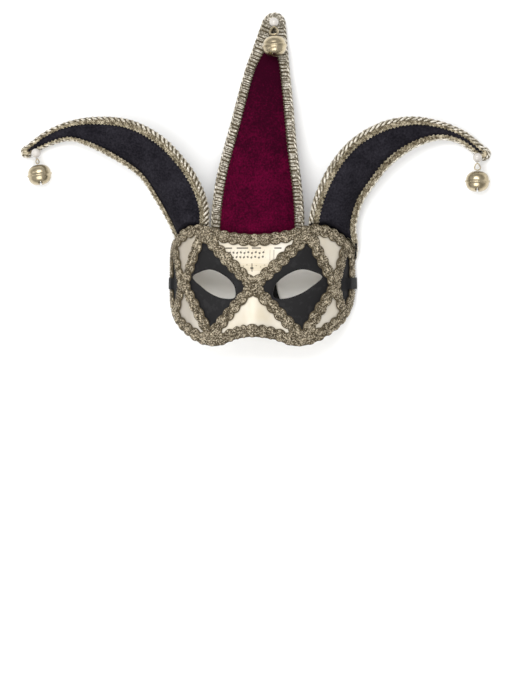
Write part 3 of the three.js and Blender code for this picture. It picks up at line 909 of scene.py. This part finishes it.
sideHorn = {
    "bow": 4, "padding": 7.5, "crown": (0.5, 1.0),
    "gather": {"by": -0.4, "from": 0.55, "to": 0.92},
    "velvetEnd": 0.995,
    "picot": {"pitch": 3.4, "reach": 0.75, "yarn": 0.42, "finish": 3},
}
leftHorn = {
    **sideHorn,
    "rows": {"count": 2, "pitch": 4, "swirl": 0.62, "yarn": 0.48},
    "ropes": (1.9, 1.4),
    "rope": {"pitch": (9, 12), "strands": 2, "yarns": 3, "spread": 0.075, "yarn": 0.48, "hollow": 0.3},
    "upper": (
        (-42.6, 46, 36), (-42, 69, 39.5), (-51.5, 93.7, 40), (-65.8, 113.1, 38), (-83.7, 129.8, 34),
        (-110, 143, 27.2), (-137.8, 146.4, 20), (-165, 143.5, 12.6), (-188, 134.6, 7.4), (-205.5, 122.2, 4.5),
    ),
    "lower": (
        (-70.5, 36, 8), (-79, 54.5, 11.2), (-92.1, 77.6, 15.8), (-103.6, 94.1, 17.4), (-121, 106.3, 17.4),
        (-147.5, 119.8, 14), (-165.6, 125.2, 10.5), (-183.8, 121.2, 6.5), (-201.2, 113.3, 4.4),
    ),
    "braidWidths": (6.8, 4.8),
    "tip": {"centre": (-203.5, 117.1, 4.1), "radius": 6.6},
}
rightHorn = {
    **sideHorn,
    "rows": {"count": 2, "pitch": 3.2, "swirl": 0.55, "yarn": 0.46},
    "ropes": (2.3, 1.6),
    "rope": {"pitch": (18, 16), "strands": 3, "yarns": 4, "spread": 0.042, "yarn": 0.46, "hollow": 0.35},
    "upper": (
        (43, 46, 36), (45.4, 62, 38.6), (50, 78, 39.8), (62.6, 103.4, 39.5), (79, 124, 35),
        (103.5, 139.3, 27.5), (128.4, 144.7, 20), (153.2, 141.2, 13.2), (175, 132, 7.7), (191.5, 118.6, 4.6),
    ),
    "lower": (
        (80.4, 24, 4.8), (82.6, 31, 7.4), (82.2, 40, 9.2), (81.2, 51, 11.2), (87, 70.8, 14.5),
        (97.6, 85.9, 17), (111.1, 102.1, 17.5), (127.9, 114.8, 15.5), (144.6, 122.5, 12.5), (157, 124, 9.6),
        (169.6, 120.6, 6.5), (184.7, 109.4, 4.4),
    ),
    "braidWidths": (7.4, 6.8),
    "tip": {"centre": (189.2, 113.2, 4.1), "radius": 6.7},
}
centreHorn = {
    "upper": (
        (-41.2, 38, 33), (-39.3, 68, 33.6), (-35.5, 94.9, 32), (-24.3, 142, 23.6), (-14.5, 184, 12.4),
        (-6, 210, 6.8), (-0.1, 227.5, 4.4),
    ),
    "lower": (
        (40.2, 38, 33), (39.7, 68, 32.5), (32.6, 121.2, 25), (28.3, 158.3, 17.2), (23.8, 191.4, 9.2),
        (21.3, 216, 5.2), (20.1, 227, 4.4),
    ),
    "bow": 7, "padding": 9, "crown": (0.3, 0.75),
    "gather": {"by": 0.3, "from": 0.78, "to": 0.9},
    "velvetEnd": 0.93, "braidWidths": (8.6, 7.8),
    "tip": {"centre": (10.2, 225.3, 4.1), "radius": 9.5},
    "ropes": (1.5, 1.5),
    "rope": {"pitch": (9, 9), "strands": 2, "yarns": 3, "spread": 0.08, "yarn": 0.42, "hollow": 0.2},
    "wound": {
        "pitch": 3.2, "steps": 16, "jitter": 0.15, "phases": (0, 0.36), "yarn": 0.66, "bulge": 0.3,
        "bulgePitch": 5.8,
    },
    # the centre's picot takes the dark ground finish: a painted shadow line between braid and velvet
    "picot": {"pitch": 2.9, "reach": 0.6, "yarn": 0.42, "finish": 1},
}
hornForm = {
    "edge": 2.4, "tipPadding": 2.6, "bindingHalf": 3.3, "edgeStations": 160, "tipStations": 40,
    "coreStep": 1.5, "ropeStep": 0.8, "threadSteps": 6, "rowsIn": 1.6, "overlap": 0.86,
    "around": 100, "along": 190, "pucker": 0.22, "puckerPitch": 6.5,
}


class Horn:
    # a horn's two edges, read by a share of their length
    def __init__(self, shape):
        self.shape = shape
        knots = [[Vector(point) for point in shape[edge]] for edge in ("upper", "lower")]
        self.edges = [Track(smoothLine(points, steps=24)) for points in knots]

    def places(self, share):
        return [edge.at(share * edge.length) for edge in self.edges]

    def middle(self, share):
        return sum(self.places(share), Vector((0, 0, 0))) / 2

    def frame(self, share):
        # both edges' places, the way in from each, and the way out of the velvet
        starts = self.places(share)
        across = starts[1] - starts[0]
        along = self.middle(min(share + 0.02, 1)) - self.middle(max(share - 0.02, 0))
        out = across.cross(along).normalized()
        if out.z < 0:
            out = -out
        inward = []
        for edge, way in zip(self.edges, (across, -across)):
            run = edge.run(share * edge.length)
            inward.append((way - run * way.dot(run)).normalized())
        return starts, inward, out

    def width(self, edge, share):
        gather = self.shape["gather"]
        gathered = smoothStep(share, gather["from"], gather["to"])
        return self.shape["braidWidths"][edge] * (1 + gather["by"] * gathered)


def mix(a, b, share):
    return a * (1 - share) + b * share


class Binding(Track):
    # the braid's way round a horn: up one edge, round the tip and down the other
    def __init__(self, horn):
        shape = horn.shape
        count = hornForm["edgeStations"]
        stations = [self.onEdge(horn, 0, i / count) for i in range(count + 1)]
        centre = Vector(shape["tip"]["centre"])
        first, last = (edge.points[-1] - centre for edge in horn.edges)
        tip = (horn.middle(1) - horn.middle(0.95)).normalized() * shape["tip"]["radius"]
        start, middle, end = (atan2(way.y, way.x) for way in (first, tip, last))
        turn = remainder(middle - start, tau)
        sweep = turn + remainder(end - middle, tau)
        for i in range(1, hornForm["tipStations"]):
            share = i / hornForm["tipStations"]
            angle = start + sweep * share
            ends = mix(first.length, last.length, share)
            radius = ends + (shape["tip"]["radius"] - ends) * sin(pi * share) ** 0.5
            way = Vector((cos(angle), sin(angle), 0))
            width = max(radius - 1.2, mix(horn.width(0, 1), horn.width(1, 1), share))
            sizes = Vector((min(width, radius - 0.8), mix(*shape["ropes"], share), 1))
            stations.append((centre + way * radius, -way, up, sizes))
        stations += [self.onEdge(horn, 1, 1 - i / count) for i in range(count + 1)]
        self.stations = stations
        super().__init__([station[0] for station in stations])

    def onEdge(self, horn, edge, share):
        starts, inward, out = horn.frame(share)
        sizes = Vector((horn.width(edge, share), horn.shape["ropes"][edge], share))
        return starts[edge], inward[edge], out, sizes

    def read(self, distance):
        # the edge's place, the ways in and out, and three sizes: braid's width, rope's radius, horn's share
        self.at(distance)
        return [a.lerp(b, self.part) for a, b in zip(*self.stations[self.here : self.here + 2])]

    def follow(self, count, offset):
        # a line of count steps round the horn: offset gives the way in and out, from the widths there
        line = []
        for i in range(count + 1):
            start, inward, out, (width, rope, _) = self.read(self.length * i / count)
            reach, height = offset(i, width, rope)
            line.append(start + inward * reach + out * height)
        return line


tuck = {
    "below": 60, "widest": 77.4, "rim": 79.4, "sideSlope": 1.4, "past": 1, "clear": 4.5, "slope": 2.5,
    "floor": 0.6,
}


def tucked(place):
    # the same place, or one beneath the shell and its rim braid where they are in the way
    if place.y > tuck["below"]:
        return place
    angle = angleOf(min(max(place.x, -tuck["widest"]), tuck["widest"]))
    edge = topOf(abs(angle)) + tuck["past"]
    outside = max(place.y - edge, (abs(place.x) - tuck["rim"]) * tuck["sideSlope"], 0)
    room = surfacePoint(angle, min(place.y, edge)).z - tuck["clear"] + tuck["slope"] * outside
    return Vector((place.x, place.y, max(min(place.z, room), tuck["floor"])))


def velvetBody(horn):
    # the padded body between the two bindings, puckered a little where they hold it
    shape = horn.shape
    rise, swelling = shape["crown"]

    def skin(around, along):
        share = shape["velvetEnd"] * along
        starts, inward, out = horn.frame(share)
        ends = [starts[k] + inward[k] * horn.width(k, share) * hornForm["overlap"] for k in (0, 1)]
        across = ends[1] - ends[0]
        front = around < 0.5
        lane = 2 * around if front else 2 - 2 * around
        lane = 0.5 - 0.5 * cos(pi * lane)
        crown = max(4 * lane * (1 - lane), 0)
        swell = shape["padding"] + (hornForm["tipPadding"] - shape["padding"]) * share**1.5
        thick = hornForm["edge"] * crown**rise + (swell - hornForm["edge"]) * crown**swelling
        bow = shape["bow"] * (1 - share) ** 3 * crown**0.75
        length = horn.edges[0].length * share
        side = min(lane, 1 - lane)
        nearEdge = exp(-((side / 0.13) ** 2)) * (1 - exp(-((side / 0.04) ** 2)))
        turn = tau * length / hornForm["puckerPitch"] + 5 * lane + sin(length * 0.21) * 1.7
        thick += hornForm["pucker"] * nearEdge * sin(turn)
        return tucked(ends[0] + across * lane + out * ((thick if front else -thick) + bow))

    return wrappedGrid(hornForm["around"], hornForm["along"], skin)


def bindingCore(binding):
    # the flat core that the metal yarn is laid on
    def skin(around, along):
        start, inward, out, (width, _, _) = binding.read(binding.length * along)
        reach, height = rounded(tau * around, 0.6, 0.6)
        reach = 0.5 * width + 0.1 + reach * (0.5 * width - 0.7)
        return tucked(start + inward * reach + out * height * (hornForm["bindingHalf"] - 0.8))

    return meshOf(wrappedGrid(16, round(binding.length / hornForm["coreStep"]), skin))


def woundYarn(binding, wound, phase, draw):
    # yarn wound round the core: the ribs across the braid, on both faces
    turns = round(binding.length / wound["pitch"])
    line = []
    steps = wound["steps"]
    for i in range(turns * steps + 1):
        if i % (steps // 2) == 0:
            wander = [draw.uniform(-wound["jitter"], wound["jitter"]) for _ in range(2)]
        distance = binding.length * (i / steps + phase) / turns
        start, inward, out, (width, rope, _) = binding.read(distance + wander[0] * wound["pitch"])
        inner = rope * 1.3
        reach, height = rounded(tau * i / steps, 0.5, 0.5)
        reach = (inner + width) / 2 + reach * ((width - inner) / 2 + wander[1])
        bulge = wound["bulge"] * sin(tau * distance / wound["bulgePitch"] + phase)
        line.append(start + inward * reach + out * height * (hornForm["bindingHalf"] - 0.3 + bulge))
    return line


def twistedRows(binding, rows):
    # thin pairs twisted together, in rows along both faces of the braid
    steps = hornForm["threadSteps"]

    def strand(row, face, ply):
        def offset(i, width, rope):
            turn = tau * (i / steps + ply / 2 + row * 0.3)
            start = hornForm["rowsIn"] * rope
            lane = (width - start) / rows["count"]
            reach = start + lane * (row + 0.5) + rows["swirl"] * cos(turn) * min(lane, 1.5)
            return reach, face * (hornForm["bindingHalf"] - 0.6 + rows["swirl"] * sin(turn))

        return binding.follow(round(binding.length / rows["pitch"]) * steps, offset)

    return [strand(*each) for each in itertools.product(range(rows["count"]), (1, -1), (0, 1))]


def ropeYarns(binding, rope):
    # a rope along the very edge: thick strands, each of a few yarns side by side
    steps = round(binding.length / hornForm["ropeStep"])
    low, high = rope["pitch"]
    twist = [0]
    for i in range(steps):
        share = binding.read(binding.length * (i + 0.5) / steps)[3].z
        twist.append(twist[-1] + binding.length / steps / (low + (high - low) * share))

    def yarn(strand, aside):
        sunk = rope["yarn"] + rope["hollow"] * abs(aside)
        high = hornForm["bindingHalf"] + 0.3 - sunk

        def offset(i, _, radius):
            turn = tau * (twist[i] + strand / rope["strands"] + aside * rope["spread"])
            return radius + (radius - sunk) * cos(turn), high * sin(turn)

        return binding.follow(steps, offset)

    asides = [i - (rope["yarns"] - 1) / 2 for i in range(rope["yarns"])]
    return [yarn(*each) for each in itertools.product(range(rope["strands"]), asides)]


def ropeShadeCore(binding):
    # a dark core inside the rope, in the black velvet finish: painted shade in the gaps between its strands
    line = []
    for i in range(round(binding.length / hornForm["coreStep"]) + 1):
        start, inward, _, (_, rope, _) = binding.read(hornForm["coreStep"] * i)
        line.append(start + inward * rope)
    return [line]


def picotEdge(binding, picot):
    # small loops of thread along the braid's inner side, front and back
    steps = hornForm["threadSteps"]

    def loops(face):
        def offset(i, width, _):
            turn = tau * i / steps
            height = face * (hornForm["bindingHalf"] + 0.2 * sin(turn))
            return width + picot["reach"] * cos(turn), height

        return binding.follow(round(binding.length / picot["pitch"]) * steps, offset)

    return [loops(face) for face in (1, -1)]


def makeHorn(name, shape, velvetFinish, slot):
    horn = Horn(shape)
    velvetPiece = finishMesh("velvet_" + name, velvetBody(horn), [finishes[velvetFinish]])
    settle(velvetPiece, slot, "horn_" + name)
    binding = Binding(horn)
    picot, rope = shape["picot"], shape["rope"]
    # each with its lines, its yarn's radius, the number of its finish, and how much it is pinched
    yarns = [
        # the dark core: painted shade between the rope's strands
        (ropeShadeCore(binding), min(shape["ropes"]) - rope["yarn"], 4, 0),
        (ropeYarns(binding, rope), rope["yarn"], 2, 0),
        (picotEdge(binding, picot), picot["yarn"], picot["finish"], 0.3),
    ]
    if "wound" in shape:
        draw = random.Random(name)
        ribs = [woundYarn(binding, shape["wound"], phase, draw) for phase in shape["wound"]["phases"]]
        yarns.append((ribs, shape["wound"]["yarn"], 0, 0.22))
    else:
        yarns.append((twistedRows(binding, shape["rows"]), shape["rows"]["yarn"], 3, 0.25))
    parts = [(bindingCore(binding), 1)]
    for lines, radius, finish, beads in yarns:
        lines = [[tucked(place) for place in line] for line in lines]
        parts.append((yarnMesh(lines, radius, roundness=int(radius > 0.5), beads=beads), finish))
    materials = [finishes[finish] for finish in ("silver", "groundAndShade", "bright", "golden", "blackVelvetAndShade")]
    settle(joined("binding_" + name, parts, materials), "silver_braid", "horn_braid_" + name)


makeHorn("left", leftHorn, "blackVelvetAndShade", "black_velvet")
makeHorn("centre", centreHorn, "burgundy", "burgundy_velvet")
makeHorn("right", rightHorn, "blackVelvetAndShade", "black_velvet")
print("horns stuffed and bound")


# Pearls, bells and their loops

bellForm = {
    "radius": 9.9, "halfHeight": 8.8, "flange": 10.8, "flangeHalf": 0.45, "wall": 0.9,
    "segments": 56, "slotWidth": 1.7, "slotReach": 7, "slotDepth": 6, "hole": 1.9, "holeDepth": 4.5,
    "holeAngle": 44, "squareness": 0.82, "ballGap": 0.3,
}
balls = {
    "loose_ball": {
        "radius": 2.4, "segments": (28, 18), "finish": "steel", "slot": "steel_ball", "node": "bell_ball",
    },
    "pearl_bead": {"radius": 4, "segments": (40, 24), "finish": "pearl", "slot": "pearl", "node": "pearl"},
}
hangTilt = 0.2
wireGap = 0.15
# each wire's radius and the width inside its eye
loopWires = {"left": (0.5, 2.6), "centre": (0.8, 6.4), "right": (0.5, 4.6)}


def hangingPose(hanging):
    centre = Vector(hanging["bell"])
    axis = Vector(hanging["pearl"]) - centre
    axis.z *= hangTilt
    axis.normalize()
    turn = Vector((0, 1, 0)).rotation_difference(axis)
    return centre, turn @ Quaternion((0, 1, 0), radians(hanging["roll"])), axis


def dome(first, last, steps, inset=0):
    # a stretch of the bell's squarish outline, between two turns in degrees
    places = []
    power = bellForm["squareness"]
    for i in range(steps + 1):
        reach, rise = rounded(radians(first + (last - first) * i / steps), power, power)
        places.append((abs(reach) * (bellForm["radius"] - inset), rise * (bellForm["halfHeight"] - inset)))
    return places


def bellMesh():
    # the profile of a hollow bell, turned about its own Y
    lip, flange = bellForm["flangeHalf"], bellForm["flange"]
    edge = [(flange - 0.15, -lip), (flange, -lip * 0.5), (flange, lip * 0.5), (flange - 0.15, lip)]
    outline = dome(-90, -6, 14) + edge + dome(6, 90, 14) + dome(90, -90, 20, bellForm["wall"])
    bm = bmesh.new()
    verts = [bm.verts.new((x, y, 0)) for x, y in outline]
    edges = [bm.edges.new(pair) for pair in zip(verts, verts[1:])]
    turning = {"cent": (0, 0, 0), "axis": (0, 1, 0), "angle": tau, "steps": bellForm["segments"]}
    bmesh.ops.spin(bm, geom=verts + edges, use_merge=True, **turning)
    bmesh.ops.remove_doubles(bm, verts=bm.verts, dist=1e-4)
    bmesh.ops.recalc_face_normals(bm, faces=bm.faces)
    return bm


def bellCutters():
    # the slot, and a round hole at each of its ends
    slot = (bellForm["slotWidth"], bellForm["slotDepth"], 2 * bellForm["slotReach"])
    cutters = [block(slot, (0, -bellForm["halfHeight"], 0))]
    hole = {"radius1": bellForm["hole"], "radius2": bellForm["hole"], "depth": bellForm["holeDepth"]}
    for way in (1, -1):
        drill = bmesh.new()
        bmesh.ops.create_cone(drill, cap_ends=True, segments=24, **hole)
        bmesh.ops.rotate(drill, verts=drill.verts, matrix=Matrix.Rotation(pi / 2, 3, "X"))
        bmesh.ops.translate(drill, verts=drill.verts, vec=(0, bellForm["wall"] - bellForm["radius"], 0))
        swing = Matrix.Rotation(-way * radians(bellForm["holeAngle"]), 3, "X")
        bmesh.ops.rotate(drill, verts=drill.verts, matrix=swing)
        cutters.append(drill)
    return cutters


def placed(bm, centre, turn):
    # moves a mesh from its own millimetres to where it hangs
    for vert in bm.verts:
        vert.co = toTable(centre + turn @ vert.co)
    return bm


def makeBell(name, hanging):
    centre, turn, axis = hangingPose(hanging)
    bell = finishMesh("jingle_bell_" + name, placed(bellMesh(), centre, turn), [finishes["gold"]])
    cutAway(bell, [placed(cutter, centre, turn) for cutter in bellCutters()])
    bell.data.set_sharp_from_angle(angle=radians(38))
    settle(bell, "pale_gold", "bell_" + name)
    low = balls["loose_ball"]["radius"] + bellForm["wall"] + bellForm["ballGap"] - bellForm["halfHeight"]
    places = {"loose_ball": centre + turn @ Vector((0, low, 0)), "pearl_bead": Vector(hanging["pearl"])}
    for sort, ball in balls.items():
        bm = bmesh.new()
        around, rings = ball["segments"]
        bmesh.ops.create_uvsphere(bm, u_segments=around, v_segments=rings, radius=ball["radius"])
        piece = finishMesh(f"{sort}_{name}", placed(bm, places[sort], turn), [finishes[ball["finish"]]])
        settle(piece, ball["slot"], f"{ball['node']}_{name}")
    makeLoop(name, hanging, centre, axis)


def makeLoop(name, hanging, centre, axis):
    # a drop-shaped eye of wire from the bell's crown to the underside of the pearl
    radius, width = loopWires[name]
    clear = radius + wireGap
    foot = centre + axis * (bellForm["halfHeight"] + clear)
    pearl = Vector(hanging["pearl"])
    down = (foot - pearl).normalized()
    head = pearl + down * (balls["pearl_bead"]["radius"] + clear)
    stretch = ((head - foot).length + 2 * radius) / (width + 2 * radius)
    turn = Vector((0, -1, 0)).rotation_difference(down)
    middle = (head + foot) / 2
    eye = []
    for i in range(40):
        around = tau * i / 40
        narrow = 1 - 0.45 * sin(around)
        flat = Vector((narrow * cos(around), stretch * sin(around), 0)) * width / 2
        eye.append(middle + turn @ flat)
    mesh = yarnMesh([eye], radius, closed=True, roundness=2)
    settle(joined("wire_eye_" + name, [(mesh, 0)], [finishes["gold"]]), "gold_wire", "bell_loop_" + name)


for name, hanging in hangings.items():
    makeBell(name, hanging)
print("bells hung")


# Table and light

studio = {
    "table": (3.6, 3.6, 0.02), "world": 0.6,
    "lamps": (
        {"place": (0, 0.68, 1.5), "power": 18, "size": (1.3, 1.0)},
        {"place": (0, -0.78, 1.5), "power": 14, "size": (1.3, 0.8)},
        {"place": (-1.2, 0.1, 1.0), "power": 4.5, "size": (0.7, 1.2)},
    ),
}


def addTable():
    bm = block(studio["table"], up * -(studio["table"][2] / 2 + 0.0001))
    finishMesh("table", bm, [finishes["table"]], smooth=False)


def addLamp(name, place, power, size):
    data = bpy.data.lights.new(name, "AREA")
    data.energy = power
    data.shape = "RECTANGLE"
    data.size, data.size_y = size
    aimed(addObject(name, data), place, (-Vector(place)).to_track_quat("-Z", "Y"))


def addWorld():
    world = bpy.data.worlds.new("studio")
    world.use_nodes = True
    light, strength = world.node_tree.nodes["Background"].inputs[:2]
    light.default_value = (1, 1, 1, 1)
    strength.default_value = studio["world"]
    bpy.context.scene.world = world


addTable()
addWorld()
for i, lamp in enumerate(studio["lamps"]):
    addLamp(f"softbox {i + 1}", **lamp)
bpy.context.scene.view_settings.view_transform = "Standard"
print("studio lit")
